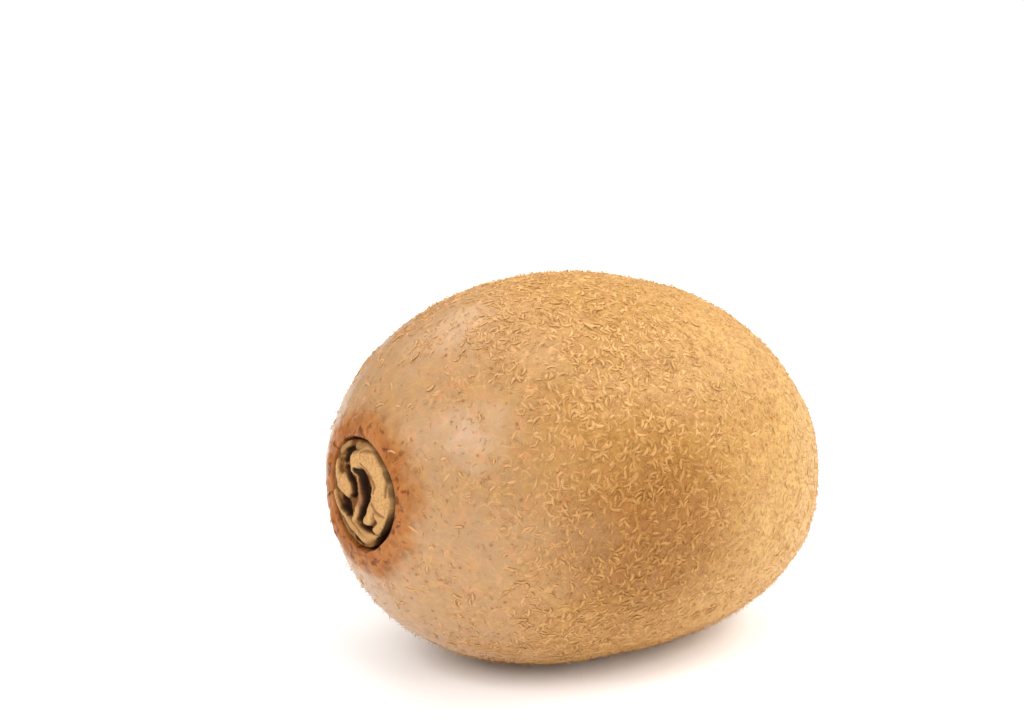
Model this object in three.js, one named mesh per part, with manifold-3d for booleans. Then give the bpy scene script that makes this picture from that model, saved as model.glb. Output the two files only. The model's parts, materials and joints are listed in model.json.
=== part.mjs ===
// A whole golden kiwi fruit lying on its side, in millimetres with +Z up.
// The stem end faces -X and carries a corky scar, set in a shallow cup.
// The blossom end faces +X and carries the tuft of dried styles that the flower left.
import * as THREE from "three";
import { mergeVertices } from "three/addons/utils/BufferGeometryUtils.js";
import Module from "manifold-3d";

const { smoothstep, lerp, clamp, degToRad } = THREE.MathUtils;

// The barrel. Each half runs from the widest section to its own end. A higher power makes it fuller.
const STEM_HALF = { length: 32.8, lengthPower: 2.16, radiusPower: 2.23 };
const BLOSSOM_HALF = { length: 38.3, lengthPower: 2.16, radiusPower: 2.31 };
const HALF_HEIGHT = 26.5;
const HALF_WIDTH = 26.9;
const MEAN_RADIUS = (HALF_HEIGHT + HALF_WIDTH) / 2;
const ARCH = 1.7; // how far both ends hang below the middle of the centre line
const DROOP = 1.4; // how far the blossom end hangs lower still, and the stem end less

// Slight unevenness, as waves round the fruit and along each half. Heights are shares of the radius.
const LUMPS = [
  { height: 0.006, around: 2, along: 3, phase: 0.7 },
  { height: 0.0036, around: 3, along: -4, phase: 2 },
];

// How it lies: the stem end is lifted a little, and the underside is pressed flat where it rests.
const STEM_LIFT = degToRad(4.55);
const FLAT_DEPTH = 0.6;

// The cup at the stem end, with a low uneven lip round it. Depths are below the barrel's own end.
const CUP = { radius: 7.5, wall: 0.5, depth: 3.1 };
const LIP = { radius: 9.6, height: 0.3, width: 1.5 };
const LIP_WAVES = [
  { height: 0.4, around: 3, along: 0, phase: 1 },
  { height: 0.3, around: 5, along: 0, phase: 2 },
];

// The cup's and the scar's outline isn't a true circle.
const OUTLINE_WAVES = [
  { height: 0.03, around: 2, along: 0, phase: 2.17 },
  { height: 0.02, around: 3, along: 0, phase: 0.47 },
];

// The scar follows the cup's outline, one gap smaller.
const GAP = 0.4;
const SCAR = { radius: CUP.radius - GAP, top: -0.3, bottom: GAP - CUP.depth, edgeDrop: 0.7, edgePower: 8 };

// The small pit at the blossom end, and in it a low knob with the dried styles.
const PIT = { radius: 2.6, wall: 2.2, depth: 1.3 };
const KNOB = { radius: 1.9, bottom: GAP - PIT.depth, foot: 0.15, dome: 0.95, sides: 16 };
const STYLE = { count: 22, length: 2.4, rootRadius: 0.34, tipRadius: 0.16, sides: 5, steps: 4, sunk: 0.5 };
const STYLE_LEAN = { middle: 0.25, rim: 1.25 }; // radians from straight out
const STYLE_STRAY = degToRad(30); // how far its bearing may be off, either way
const STYLE_BEND = 1; // radians that it may turn aside on its way out, either way
const GOLDEN_ANGLE = degToRad(137.5);

// Folds and clefts of the scar, on a disc of radius 1 seen from outside. Each runs along an arc: its centre,
// its radius and its reach in degrees. Its width is half the fold's own, and its height is in millimetres.
const FOLDS = [
  { across: 0.14, up: 0.06, radius: 0.6, from: -20, to: 128, width: 0.27, height: 0.95 }, // big hook
  { across: -0.82, up: -0.09, radius: 1.52, from: -20, to: 0, width: 0.24, height: 0.85 }, // its lower leg
  { across: -0.57, up: -0.09, radius: 0.66, from: -46, to: 56, width: 0.17, height: 0.85 }, // inner tongue
  { across: 0, up: 0, radius: 0.92, from: 56, to: 180, width: 0.09, height: 0.5 }, // thin rim over both
  { across: 1.45, up: 4.63, radius: 5.54, from: 245, to: 259, width: 0.1, height: 0.85 }, // lower lip
  { across: -0.55, up: -0.06, radius: 0, from: 0, to: 0, width: 0.22, height: 1.0 }, // round knob
];
const CLEFTS = [
  { across: -0.1, up: -0.08, radius: 0.45, from: -76, to: 84, width: 0.13, height: 1.2 }, // crescent
  { across: 1.05, up: 1.23, radius: 2.0, from: 240, to: 256, width: 0.09, height: 0.9 }, // its slanting foot
  { across: -0.12, up: 0.39, radius: 0.53, from: 160, to: 205, width: 0.11, height: 0.8 }, // beside the hook
  { across: -0.54, up: -0.06, radius: 0.28, from: -45, to: 100, width: 0.08, height: 0.9 }, // round the knob
  { across: -0.48, up: -0.4, radius: 0, from: 0, to: 0, width: 0.16, height: 1.0 }, // deep hole
  { across: -0.56, up: -0.72, radius: 0, from: 0, to: 0, width: 0.12, height: 0.6 }, // small hole
  { across: -0.4, up: -1.0, radius: 0, from: 0, to: 0, width: 0.4, height: 0.4 }, // low ground past the lip
];

// How finely the surfaces are divided.
const SECTORS = 60;
const CUP_RINGS = { reach: 10.8, count: 18 };
const BODY_RINGS = 26;
const PIT_RINGS = { reach: 5.6, count: 8 };
const SCAR_SECTORS = 84;
const SCAR_RINGS = 20;

function ringOf(count, pointAt) {
  return Array.from({ length: count }, (_, j) => pointAt((2 * Math.PI * j) / count));
}

// One closed surface through rings of points, each of which runs anticlockwise as the first pole sees it.
function closedRings(firstPole, rings, lastPole) {
  const count = rings[0].length;
  const last = rings.length * count + 1;
  const positions = [firstPole, ...rings.flat(), lastPole].flatMap((point) => point.toArray());
  const indices = [];
  for (let j = 0; j < count; j++) {
    const next = (j + 1) % count;
    indices.push(0, 1 + j, 1 + next);
    for (let i = 0; i + 1 < rings.length; i++) {
      const inner = 1 + i * count;
      const outer = inner + count;
      indices.push(inner + j, outer + j, outer + next, inner + j, outer + next, inner + next);
    }
    indices.push(last - count + j, last, last - count + next);
  }
  const geometry = new THREE.BufferGeometry();
  geometry.setAttribute("position", new THREE.Float32BufferAttribute(positions, 3));
  geometry.setIndex(indices);
  return geometry;
}

// A factor near 1 that follows the given waves.
function ripple(waves, angle, share = 0) {
  const height = (wave) => wave.height * Math.sin(wave.around * angle + wave.along * share + wave.phase);
  return waves.reduce((sum, wave) => sum + height(wave), 1);
}

// The fruit's centre line: its height at a share of the way from the widest section, -1 stem to 1 blossom.
function centreHeight(share) {
  return -ARCH * share ** 2 - DROOP * share ** 3;
}

// A station on the profile is an angle: 0 at the stem end, a quarter turn at the widest section and a half
// turn at the blossom end. On each half, length share ^ lengthPower + radius share ^ radiusPower = 1.
function stationAt(half, distance) {
  const station = Math.asin((distance / MEAN_RADIUS) ** (half.radiusPower / 2));
  return half === STEM_HALF ? station : Math.PI - station;
}

function skinPoint(station, angle) {
  const half = station < Math.PI / 2 ? STEM_HALF : BLOSSOM_HALF;
  const side = half === STEM_HALF ? -1 : 1;
  const share = side * Math.abs(Math.cos(station)) ** (2 / half.lengthPower);
  const radiusShare = Math.abs(Math.sin(station)) ** (2 / half.radiusPower);
  const along = Math.abs(share) * half.length;
  const distance = radiusShare * MEAN_RADIUS;
  const outward = half === STEM_HALF ? stemEnd(along, distance, angle) : blossomEnd(along, distance);
  const spread = radiusShare * ripple(LUMPS, angle, share);
  return new THREE.Vector3(
    side * outward,
    -HALF_WIDTH * spread * Math.cos(angle),
    HALF_HEIGHT * spread * Math.sin(angle) + centreHeight(share),
  );
}

// The stem end sinks into the cup's flat floor, inside a lip that is higher in some places than in others.
function stemEnd(along, distance, angle) {
  const edge = CUP.radius * ripple(OUTLINE_WAVES, angle);
  const inCup = 1 - smoothstep(distance, edge, edge + CUP.wall);
  const crest = Math.exp(-(((distance - LIP.radius) / LIP.width) ** 2));
  const lip = LIP.height * ripple(LIP_WAVES, angle) * crest;
  return lerp(along + lip, STEM_HALF.length - CUP.depth, inCup);
}

function blossomEnd(along, distance) {
  const inPit = 1 - smoothstep(distance, PIT.radius, PIT.radius + PIT.wall);
  return lerp(along, BLOSSOM_HALF.length - PIT.depth, inPit);
}

// Rings are close together over the cup and the pit, and even over the body between them.
function stations() {
  const stem = Array.from({ length: CUP_RINGS.count }, (_, i) =>
    stationAt(STEM_HALF, (CUP_RINGS.reach * (i + 1)) / CUP_RINGS.count),
  );
  const blossom = Array.from({ length: PIT_RINGS.count }, (_, i) =>
    stationAt(BLOSSOM_HALF, PIT_RINGS.reach * (1 - i / PIT_RINGS.count)),
  );
  const body = Array.from({ length: BODY_RINGS }, (_, i) =>
    lerp(stem.at(-1), blossom[0], (i + 1) / (BODY_RINGS + 1)),
  );
  return [...stem, ...body, ...blossom];
}

function fruitGeometry() {
  const rings = stations().map((station) => ringOf(SECTORS, (angle) => skinPoint(station, angle)));
  return closedRings(skinPoint(0, 0), rings, skinPoint(Math.PI, 0));
}

// How far a point of the disc is from the arc that a fold or a cleft runs along.
function arcDistance(across, up, arc) {
  const x = across - arc.across;
  const y = up - arc.up;
  const middle = degToRad((arc.from + arc.to) / 2);
  const reach = degToRad((arc.to - arc.from) / 2);
  const along = x * Math.cos(middle) + y * Math.sin(middle);
  const aside = y * Math.cos(middle) - x * Math.sin(middle);
  const nearest = middle + clamp(Math.atan2(aside, along), -reach, reach);
  return Math.hypot(x - arc.radius * Math.cos(nearest), y - arc.radius * Math.sin(nearest));
}

// The highest of the given arcs' rounded backs at a point of the disc.
function relief(across, up, arcs) {
  const back = (arc) => arc.height * Math.max(0, 1 - (arcDistance(across, up, arc) / arc.width) ** 2);
  return Math.max(...arcs.map(back));
}

function scarHeight(share, angle) {
  const across = share * Math.cos(angle);
  const up = share * Math.sin(angle);
  const ground = SCAR.top - SCAR.edgeDrop * share ** SCAR.edgePower;
  return ground + relief(across, up, FOLDS) - relief(across, up, CLEFTS);
}

// From a place on the scar's disc, and a height outwards from the barrel's stem end, to the fruit's own.
function scarPoint(share, angle, height) {
  const distance = SCAR.radius * share * ripple(OUTLINE_WAVES, angle);
  return new THREE.Vector3(
    -STEM_HALF.length - height,
    -distance * Math.cos(angle),
    distance * Math.sin(angle) + centreHeight(-1),
  );
}

function scarGeometry() {
  const face = Array.from({ length: SCAR_RINGS }, (_, i) => (i + 1) / SCAR_RINGS).map((share) =>
    ringOf(SCAR_SECTORS, (angle) => scarPoint(share, angle, scarHeight(share, angle))),
  );
  const underside = [0.97, 0.5].map((share) =>
    ringOf(SCAR_SECTORS, (angle) => scarPoint(share, angle, SCAR.bottom)),
  );
  return closedRings(
    scarPoint(0, 0, scarHeight(0, 0)),
    [...face, ...underside],
    scarPoint(0, 0, SCAR.bottom),
  );
}

// From a bearing round the blossom end's axis, and a height outwards from that end, to the fruit's own.
function tuftPoint(distance, bearing, height) {
  return new THREE.Vector3(
    BLOSSOM_HALF.length + height,
    distance * Math.cos(bearing),
    distance * Math.sin(bearing) + centreHeight(1),
  );
}

function knobGeometry() {
  const foot = KNOB.bottom + KNOB.foot;
  const ringAt = (share, height) =>
    ringOf(KNOB.sides, (bearing) => tuftPoint(KNOB.radius * share, bearing, height));
  const domeHeight = (share) => foot + KNOB.dome * Math.sqrt(1 - share ** 2);
  const dome = [0.35, 0.7, 0.95, 1].map((share) => ringAt(share, domeHeight(share)));
  return closedRings(
    tuftPoint(0, 0, foot + KNOB.dome),
    [...dome, ringAt(0.8, KNOB.bottom)],
    tuftPoint(0, 0, KNOB.bottom),
  );
}

// One dried style: a tapering stalk that rises out of the knob, leans out at its bearing and bends aside.
function styleGeometry({ bearing, lean, length, bend }) {
  const start = 0.45 * KNOB.radius * lean;
  const foot = KNOB.bottom + KNOB.dome - STYLE.sunk;
  const spine = Array.from({ length: STYLE.steps + 1 }, (_, i) => {
    const share = i / STYLE.steps;
    const out = start + length * share * Math.sin(lean * share);
    const height = foot + length * share * Math.cos(lean * share);
    return tuftPoint(out, bearing + bend * share ** 2, height);
  });
  const rings = spine.map((centre, i) => {
    const before = spine[Math.max(0, i - 1)];
    const after = spine[Math.min(STYLE.steps, i + 1)];
    const direction = after.clone().sub(before).normalize();
    const turn = new THREE.Quaternion().setFromUnitVectors(new THREE.Vector3(0, 0, 1), direction);
    const radius = lerp(STYLE.rootRadius, STYLE.tipRadius, i / STYLE.steps);
    return ringOf(STYLE.sides, (angle) =>
      new THREE.Vector3(Math.cos(-angle), Math.sin(-angle), 0)
        .multiplyScalar(radius)
        .applyQuaternion(turn)
        .add(centre),
    );
  });
  return closedRings(spine[0], rings, spine.at(-1));
}

// Even but unordered values from 0 to 1, another row of them for each step.
function scattered(index, step) {
  return (index * step) % 1;
}

// The styles stand round the knob in a loose spiral, the outer ones leaning further out. Each strays from its
// place and bends its own way, as shrivelled styles do.
function styles() {
  return Array.from({ length: STYLE.count }, (_, i) => {
    const lean = lerp(STYLE_LEAN.middle, STYLE_LEAN.rim, Math.sqrt((i + 0.5) / STYLE.count));
    const length = STYLE.length * lerp(0.6, 1.15, scattered(i, 0.755));
    const bearing = i * GOLDEN_ANGLE + STYLE_STRAY * lerp(-1, 1, scattered(i, 0.57));
    const bend = STYLE_BEND * lerp(-1, 1, scattered(i, 0.43));
    return { bearing, lean, length, bend };
  });
}

// The library that cuts the underside and joins the styles.
const wasm = await Module();
wasm.setup();

function solidOf(geometry) {
  const merged = mergeVertices(geometry);
  return new wasm.Manifold(
    new wasm.Mesh({
      numProp: 3,
      vertProperties: merged.attributes.position.array,
      triVerts: new Uint32Array(merged.index.array),
    }),
  );
}

function geometryOf(solid) {
  const mesh = solid.getMesh();
  const geometry = new THREE.BufferGeometry();
  geometry.setAttribute("position", new THREE.BufferAttribute(new Float32Array(mesh.vertProperties), 3));
  geometry.setIndex(new THREE.BufferAttribute(mesh.triVerts, 1));
  return geometry;
}

// The knob and its styles as one body. Only the outer one is kept, which fills any hollow between the styles.
function tuftGeometry() {
  const stalks = styles().map((style) => solidOf(styleGeometry(style)));
  const joined = stalks.reduce((tuft, stalk) => tuft.add(stalk), solidOf(knobGeometry()));
  return geometryOf(joined.decompose().reduce((a, b) => (b.volume() > a.volume() ? b : a)));
}

// The lying fruit, cut flat a little above its lowest point.
function restingFruitGeometry() {
  const lying = fruitGeometry().rotateY(STEM_LIFT);
  lying.computeBoundingBox();
  const slab = new THREE.BoxGeometry(2 * STEM_HALF.length, 2 * HALF_WIDTH, HALF_HEIGHT);
  slab.deleteAttribute("normal");
  slab.deleteAttribute("uv");
  slab.translate(0, 0, lying.boundingBox.min.z + FLAT_DEPTH - HALF_HEIGHT / 2);
  return geometryOf(solidOf(lying).subtract(solidOf(slab)));
}

const skin = new THREE.MeshStandardMaterial({ color: 0xcb9a62, roughness: 0.75, metalness: 0 });
const cork = new THREE.MeshStandardMaterial({ color: 0xb98a55, roughness: 0.85, metalness: 0 });
const driedStyle = new THREE.MeshStandardMaterial({ color: 0x4a2d1a, roughness: 0.9, metalness: 0 });

function named(name, geometry, material) {
  geometry.computeVertexNormals();
  const mesh = new THREE.Mesh(geometry, material);
  mesh.name = name;
  return mesh;
}

const lyingFruit = new THREE.Group();
lyingFruit.add(
  named("fruit", restingFruitGeometry(), skin),
  named("stem_scar", scarGeometry().rotateY(STEM_LIFT), cork),
  named("style_tuft", tuftGeometry().rotateY(STEM_LIFT), driedStyle),
);

// The origin is on the surface that the fruit rests on, under the middle of its whole extent.
const extent = new THREE.Box3().setFromObject(lyingFruit, true);
const middle = extent.getCenter(new THREE.Vector3());
lyingFruit.position.set(-middle.x, -middle.y, -extent.min.z);

const kiwiFruit = new THREE.Group();
kiwiFruit.add(lyingFruit);
export default kiwiFruit;
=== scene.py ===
"""A golden kiwi fruit lying on its side: its skin, stem scar, dried styles and short matted hairs.

Shapes are worked out in millimetres in the fruit's own frame: the stem end towards -X, the blossom end
towards +X, the middle of the widest section at the origin. in_place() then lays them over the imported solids.
"""

import json
import math

import bpy
import numpy as np
from bpy.props import FloatProperty, FloatVectorProperty, IntProperty, PointerProperty
from mathutils import Matrix, Vector

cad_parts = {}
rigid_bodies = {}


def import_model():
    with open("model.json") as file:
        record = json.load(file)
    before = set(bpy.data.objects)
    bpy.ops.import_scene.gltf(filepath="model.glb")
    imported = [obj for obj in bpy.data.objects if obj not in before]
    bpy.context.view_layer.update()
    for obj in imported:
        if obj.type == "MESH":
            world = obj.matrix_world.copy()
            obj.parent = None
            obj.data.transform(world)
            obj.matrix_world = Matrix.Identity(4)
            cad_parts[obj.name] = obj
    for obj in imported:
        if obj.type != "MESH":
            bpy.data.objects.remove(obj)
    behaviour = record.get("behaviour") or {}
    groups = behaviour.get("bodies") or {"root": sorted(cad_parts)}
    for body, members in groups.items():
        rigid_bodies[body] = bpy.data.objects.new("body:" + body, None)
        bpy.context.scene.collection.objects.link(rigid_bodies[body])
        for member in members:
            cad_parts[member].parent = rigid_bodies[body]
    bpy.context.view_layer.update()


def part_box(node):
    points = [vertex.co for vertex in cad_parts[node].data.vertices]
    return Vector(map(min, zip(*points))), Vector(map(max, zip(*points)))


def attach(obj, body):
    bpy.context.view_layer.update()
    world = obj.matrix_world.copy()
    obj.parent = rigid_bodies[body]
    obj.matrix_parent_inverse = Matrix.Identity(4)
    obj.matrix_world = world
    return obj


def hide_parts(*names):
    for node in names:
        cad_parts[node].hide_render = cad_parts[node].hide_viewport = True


bpy.data.batch_remove(list(bpy.data.objects))
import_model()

bl_info = {
    "name": "Golden kiwi fruit",
    "version": (1, 0, 0),
    "blender": (4, 5, 0),
    "location": "3D View > Sidebar > Kiwi fruit",
    "description": "Builds a golden kiwi fruit with its skin, stem scar, dried styles and hairs",
    "category": "Object",
}

MM = 0.001

# The barrel, as in the solids. Each half runs from the widest section to its own end.
STEM_HALF = {"length": 32.8, "length_power": 2.16, "radius_power": 2.23}
BLOSSOM_HALF = {"length": 38.3, "length_power": 2.16, "radius_power": 2.31}
HALF_HEIGHT = 26.5
HALF_WIDTH = 26.9
MEAN_RADIUS = (HALF_HEIGHT + HALF_WIDTH) / 2
ARCH = 1.7
DROOP = 1.4
STEM_LIFT = math.radians(4.55)

# Waves as (height, times round the fruit, phase along it, phase).
LUMPS = ((0.006, 2, 3, 0.7), (0.0036, 3, -4, 2.0))
LIP_WAVES = ((0.4, 3, 0, 1.0), (0.3, 5, 0, 2.0))
OUTLINE_WAVES = ((0.03, 2, 0, 2.17), (0.02, 3, 0, 0.47))

# The cup and its lip at the stem end, the scar in it, and the pit and its knob at the blossom end.
CUP = {"radius": 7.5, "wall": 0.5, "depth": 3.1}
# Where the groove round the scar opens: how far, in which direction, and the cosines where that starts and is full.
OPENINGS = ((0.85, -0.6, 0.8, 0.99), (0.5, 0.62, 0.99, 0.999), (0.4, 0.3, 0.99, 0.998))
LIP = {"radius": 9.6, "height": 0.3, "width": 1.5}
SCAR = {"top": -0.3, "bottom": -2.7, "edge_drop": 0.95, "edge_power": 7}
PIT = {"radius": 2.6, "wall": 2.2, "depth": 1.3}
KNOB = {"radius": 1.9, "bottom": -0.9, "foot": 0.15, "dome": 0.95}
STYLE = {"count": 22, "length": 2.4, "root": 0.34, "tip": 0.16, "sunk": 0.5}
KNOB_GRID = (18, 72)
STYLE_GRID = (26, 14)
STYLE_LEAN = (0.25, 1.25)
STYLE_STRAY = math.radians(30)
GOLDEN_ANGLE = math.radians(137.5)

# The scar's forms on its disc of radius 1, seen from outside: across runs to the front side, up to the top.
# Each is a smooth curve through its places, with its half width at the start, middle and end, and its height.
FOLDS = {
    "hook": (
        (
            *((-0.1, 0.5), (-0.05, 0.64), (0.15, 0.74), (0.43, 0.73)),
            *((0.64, 0.59), (0.74, 0.37), (0.77, 0.14), (0.74, -0.08)),
        ),
        (0.19, 0.27, 0.29),
        0.82,
    ),
    "hook_inner_foot": (((0.68, -0.08), (0.58, -0.24), (0.5, -0.36), (0.46, -0.45)), (0.2, 0.15, 0.1), 0.82),
    "hook_outer_foot": (((0.88, -0.1), (0.88, -0.28), (0.8, -0.47), (0.68, -0.58)), (0.16, 0.17, 0.11), 0.68),
    "tongue": (
        ((-0.07, 0.44), (0.08, 0.3), (0.17, 0.1), (0.14, -0.13), (0.06, -0.32), (-0.02, -0.5)),
        (0.08, 0.12, 0.09),
        0.66,
    ),
    "knob": (((-0.36, 0.1), (-0.3, 0.02)), (0.17, 0.19, 0.18), 0.9),
    "knob_tail": (((-0.66, 0.42), (-0.67, 0.22), (-0.56, 0.1), (-0.44, 0.06)), (0.08, 0.1, 0.15), 0.7),
    "lip": (
        ((-0.72, -0.16), (-0.6, -0.34), (-0.36, -0.5), (-0.12, -0.6), (0.06, -0.72), (0.34, -0.78), (0.62, -0.74)),
        (0.085, 0.095, 0.08),
        0.6,
    ),
    "low_step": (((0.06, -0.56), (0.24, -0.65), (0.46, -0.74)), (0.05, 0.07, 0.05), 0.55),
    "high_band": (((-0.2, 0.9), (0.1, 0.98), (0.45, 1.0), (0.72, 0.88)), (0.1, 0.13, 0.1), 0.38),
    "right_band": (((0.66, 0.78), (0.86, 0.52), (0.97, 0.2), (0.99, -0.1)), (0.12, 0.17, 0.13), 0.62),
    "left_bump": (((-0.66, 0.66), (-0.5, 0.78)), (0.1, 0.1, 0.1), 0.45),
}
CLEFTS = {
    "crescent": (
        (
            *((-0.06, 0.46), (0.11, 0.4), (0.25, 0.3), (0.33, 0.16)),
            *((0.345, 0.0), (0.32, -0.14), (0.25, -0.29), (0.18, -0.46)),
        ),
        (0.05, 0.12, 0.08),
        0.5,
    ),
    "foot": (((0.17, -0.45), (0.28, -0.52), (0.42, -0.59), (0.6, -0.66)), (0.08, 0.075, 0.04), 0.5),
    "left_streak": (((-0.3, 0.78), (-0.4, 0.66), (-0.46, 0.5)), (0.06, 0.09, 0.06), 0.5),
    "left_spot": (((-0.38, 0.36), (-0.33, 0.3)), (0.07, 0.08, 0.06), 0.65),
    "knob_line": (((-0.32, 0.27), (-0.16, 0.19), (-0.09, 0.05), (-0.13, -0.08)), (0.04, 0.055, 0.04), 0.6),
    "hole": (((-0.43, -0.2), (-0.36, -0.3), (-0.28, -0.4)), (0.1, 0.13, 0.08), 0.7),
    "low_spot": (((-0.38, -0.6), (-0.26, -0.63)), (0.05, 0.06, 0.04), 0.6),
    "bottom_spot": (((-0.04, -0.86), (0.1, -0.9)), (0.05, 0.06, 0.05), 0.5),
}
CREASES = {
    "hook_crease": (((0.6, -0.02), (0.74, -0.1), (0.9, -0.2)), (0.04, 0.06, 0.04), 0.16),
    "hook_split": (((0.7, -0.18), (0.66, -0.34), (0.6, -0.5)), (0.05, 0.06, 0.04), 0.22),
    "hook_streak": (((0.12, 0.62), (0.4, 0.6), (0.56, 0.44), (0.6, 0.2)), (0.03, 0.05, 0.03), 0.09),
    "hook_edge": (((0.02, 0.84), (0.36, 0.9), (0.66, 0.78), (0.86, 0.5), (0.92, 0.2)), (0.03, 0.045, 0.03), 0.1),
    "tongue_streak": (((0.06, 0.24), (0.1, 0.05), (0.06, -0.2)), (0.03, 0.045, 0.03), 0.1),
    "lip_streak": (((-0.55, -0.25), (-0.3, -0.42), (-0.02, -0.56)), (0.03, 0.04, 0.03), 0.14),
}
TONGUE_BLUSH = ((0.14, 0.26), (0.21, 0.08), (0.18, -0.16))


def linear(red, green, blue):
    """A screen colour of 0 to 255 as scene linear light."""
    screen = np.array((red, green, blue)) / 255
    return tuple(float(c) for c in np.where(screen > 0.04045, ((screen + 0.055) / 1.055) ** 2.4, screen / 12.92))


# ---- Surfaces


def smoothstep(value, low, high):
    """0 below low, 1 above high, and 3t^2 - 2t^3 between them."""
    t = np.clip((value - low) / (high - low), 0, 1)
    return t * t * (3 - 2 * t)


def blend(first, second, share):
    """first where share is 0, second where it is 1."""
    return first + (second - first) * share


def ripple(waves, angle, share=0.0):
    """1 plus the sum of height * sin(around * angle + along * share + phase)."""
    return 1 + sum(height * np.sin(around * angle + along * share + phase) for height, around, along, phase in waves)


def unevenness(points, length, seed, count=28):
    """Smooth noise of spread 1: the sum of plane waves in random directions, each about length mm long."""
    rng = np.random.default_rng(seed)
    direction = rng.normal(size=(count, 3))
    direction /= np.linalg.norm(direction, axis=1, keepdims=True)
    pace = 2 * np.pi / (length * rng.uniform(0.7, 1.5, count))
    phase = rng.uniform(0, 2 * np.pi, count)
    return np.cos(points @ (direction * pace[:, None]).T + phase).sum(-1) * math.sqrt(2 / count)


def centre_height(share):
    """Height of the fruit's centre line, from share -1 at the stem end to 1 at the blossom end."""
    return -ARCH * share**2 - DROOP * share**3


def pick(stem, key):
    """The stem half's value where stem is true, and the blossom half's elsewhere."""
    return np.where(stem, STEM_HALF[key], BLOSSOM_HALF[key])


def cup_edge(angle):
    """The cup's own radius in each direction, drawn in at the top, at the bottom and on the front side."""
    drawn_in = 0.025 * np.sin(angle) ** 2 + 0.07 * smoothstep(np.cos(angle), 0.1, 1.0)
    return CUP["radius"] * ripple(OUTLINE_WAVES, angle) * (1 - drawn_in)


def groove_openness(angle):
    """How open the groove round the scar is in each direction, 0 to 1: most at the lower right, and in two spots."""
    opened = sum(most * smoothstep(np.cos(angle - bearing), low, high) for most, bearing, low, high in OPENINGS)
    return np.clip(opened + 0.06 * np.sin(7 * angle + 1) + 0.06, 0, 1)


def skin_places(station, angle):
    """Points of the smooth skin and their facts.

    On each half, length share ^ length power + radius share ^ radius power = 1. The stem end sinks into the
    cup inside a wavy lip, and the blossom end into the pit.
    """
    station, angle = np.broadcast_arrays(station, angle)
    stem = station < np.pi / 2
    side = np.where(stem, -1.0, 1.0)
    share = side * np.abs(np.cos(station)) ** (2 / pick(stem, "length_power"))
    radius_share = np.abs(np.sin(station)) ** (2 / pick(stem, "radius_power"))
    distance = radius_share * MEAN_RADIUS
    along = np.abs(share) * pick(stem, "length")

    edge = cup_edge(angle)
    in_cup = 1 - smoothstep(distance, edge, edge + CUP["wall"])
    lip = LIP["height"] * ripple(LIP_WAVES, angle) * np.exp(-(((distance - LIP["radius"]) / LIP["width"]) ** 2))
    stem_out = blend(along + lip, STEM_HALF["length"] - CUP["depth"], in_cup)
    in_pit = 1 - smoothstep(distance, PIT["radius"], PIT["radius"] + PIT["wall"])
    blossom_out = blend(along, BLOSSOM_HALF["length"] - PIT["depth"], in_pit)

    spread = radius_share * ripple(LUMPS, angle, share)
    points = np.stack(
        (
            side * np.where(stem, stem_out, blossom_out),
            -HALF_WIDTH * spread * np.cos(angle),
            HALF_HEIGHT * spread * np.sin(angle) + centre_height(share),
        ),
        axis=-1,
    )
    far = 99.0
    facts = {
        "along": share,
        "rim": np.where(stem, distance - edge, far),
        "pit": np.where(stem, far, distance),
        "open": np.where(stem, groove_openness(angle), 0.0),
    }
    return points, facts


# Spacing of the skin's rings in mm within a distance from the axis, at the stem end and at the blossom end.
STEM_STEPS = ((13.5, 0.3), (9.0, 0.14), (6.9, 1.2))
BLOSSOM_STEPS = ((8.0, 0.3),)


def skin_stations(body_step):
    """Stations of the skin's rings: a wanted spacing at each place of a meridian, summed and cut at whole numbers.

    The rings are close together over the cup's wall and its halo and over the pit, and even elsewhere.
    """
    fine = np.linspace(0, np.pi, 8001)
    points, _ = skin_places(fine, 0.0)
    stem = fine < np.pi / 2
    distance = np.abs(np.sin(fine)) ** (2 / pick(stem, "radius_power")) * MEAN_RADIUS
    step = np.full_like(fine, body_step)
    for end, steps in ((stem, STEM_STEPS), (~stem, BLOSSOM_STEPS)):
        for within, fine_step in steps:
            step = np.where(end & (distance < within), fine_step, step)
    travelled = np.linalg.norm(np.diff(points, axis=0), axis=1)
    rows = np.concatenate(((0,), np.cumsum(travelled / step[1:])))
    wanted = np.linspace(0, rows[-1], int(round(rows[-1])) + 1)[1:-1]
    return np.interp(wanted, rows, fine)


def ring_normals(rings):
    """Outward unit normals of rings of points: the cross product of the ways along and round the surface."""
    along = np.gradient(rings, axis=0)
    around = np.roll(rings, -1, axis=1) - np.roll(rings, 1, axis=1)
    normal = np.cross(along, around)
    return normal / np.maximum(np.linalg.norm(normal, axis=-1, keepdims=True), 1e-9)


def skin_relief(points, facts):
    """Height of the skin above its smooth shape, in mm.

    It is a sum of noises: broad swells, small dents and fine grain everywhere, and knobbly bumps and curled
    ridges in the halo round the scar, which fade out 4 mm from it.
    """
    halo = (1 - smoothstep(facts["rim"], 1.2, 5.0)) * smoothstep(facts["rim"], 0.4, 1.6)
    hollow = (1 - smoothstep(facts["pit"], 3.5, 8.0)) * smoothstep(facts["pit"], 2.0, 3.0)
    outside = smoothstep(facts["rim"], 0.0, 0.6)
    swell = 0.07 * unevenness(points, 13.0, 1) + 0.035 * unevenness(points, 5.5, 2)
    grain = 0.012 * unevenness(points, 2.2, 3, 40) + 0.006 * unevenness(points, 1.1, 4, 40)
    knobs = 0.14 * np.abs(unevenness(points, 2.4, 5, 40)) + 0.05 * unevenness(points, 1.2, 6, 40)
    return outside * (swell + grain) + halo * knobs + 0.6 * hollow * knobs


def in_place(points):
    """From the fruit's own frame in mm to the row frame in metres: turned by the stem's lift and moved."""
    return (points @ TURN.T + PLACE) * MM


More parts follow.
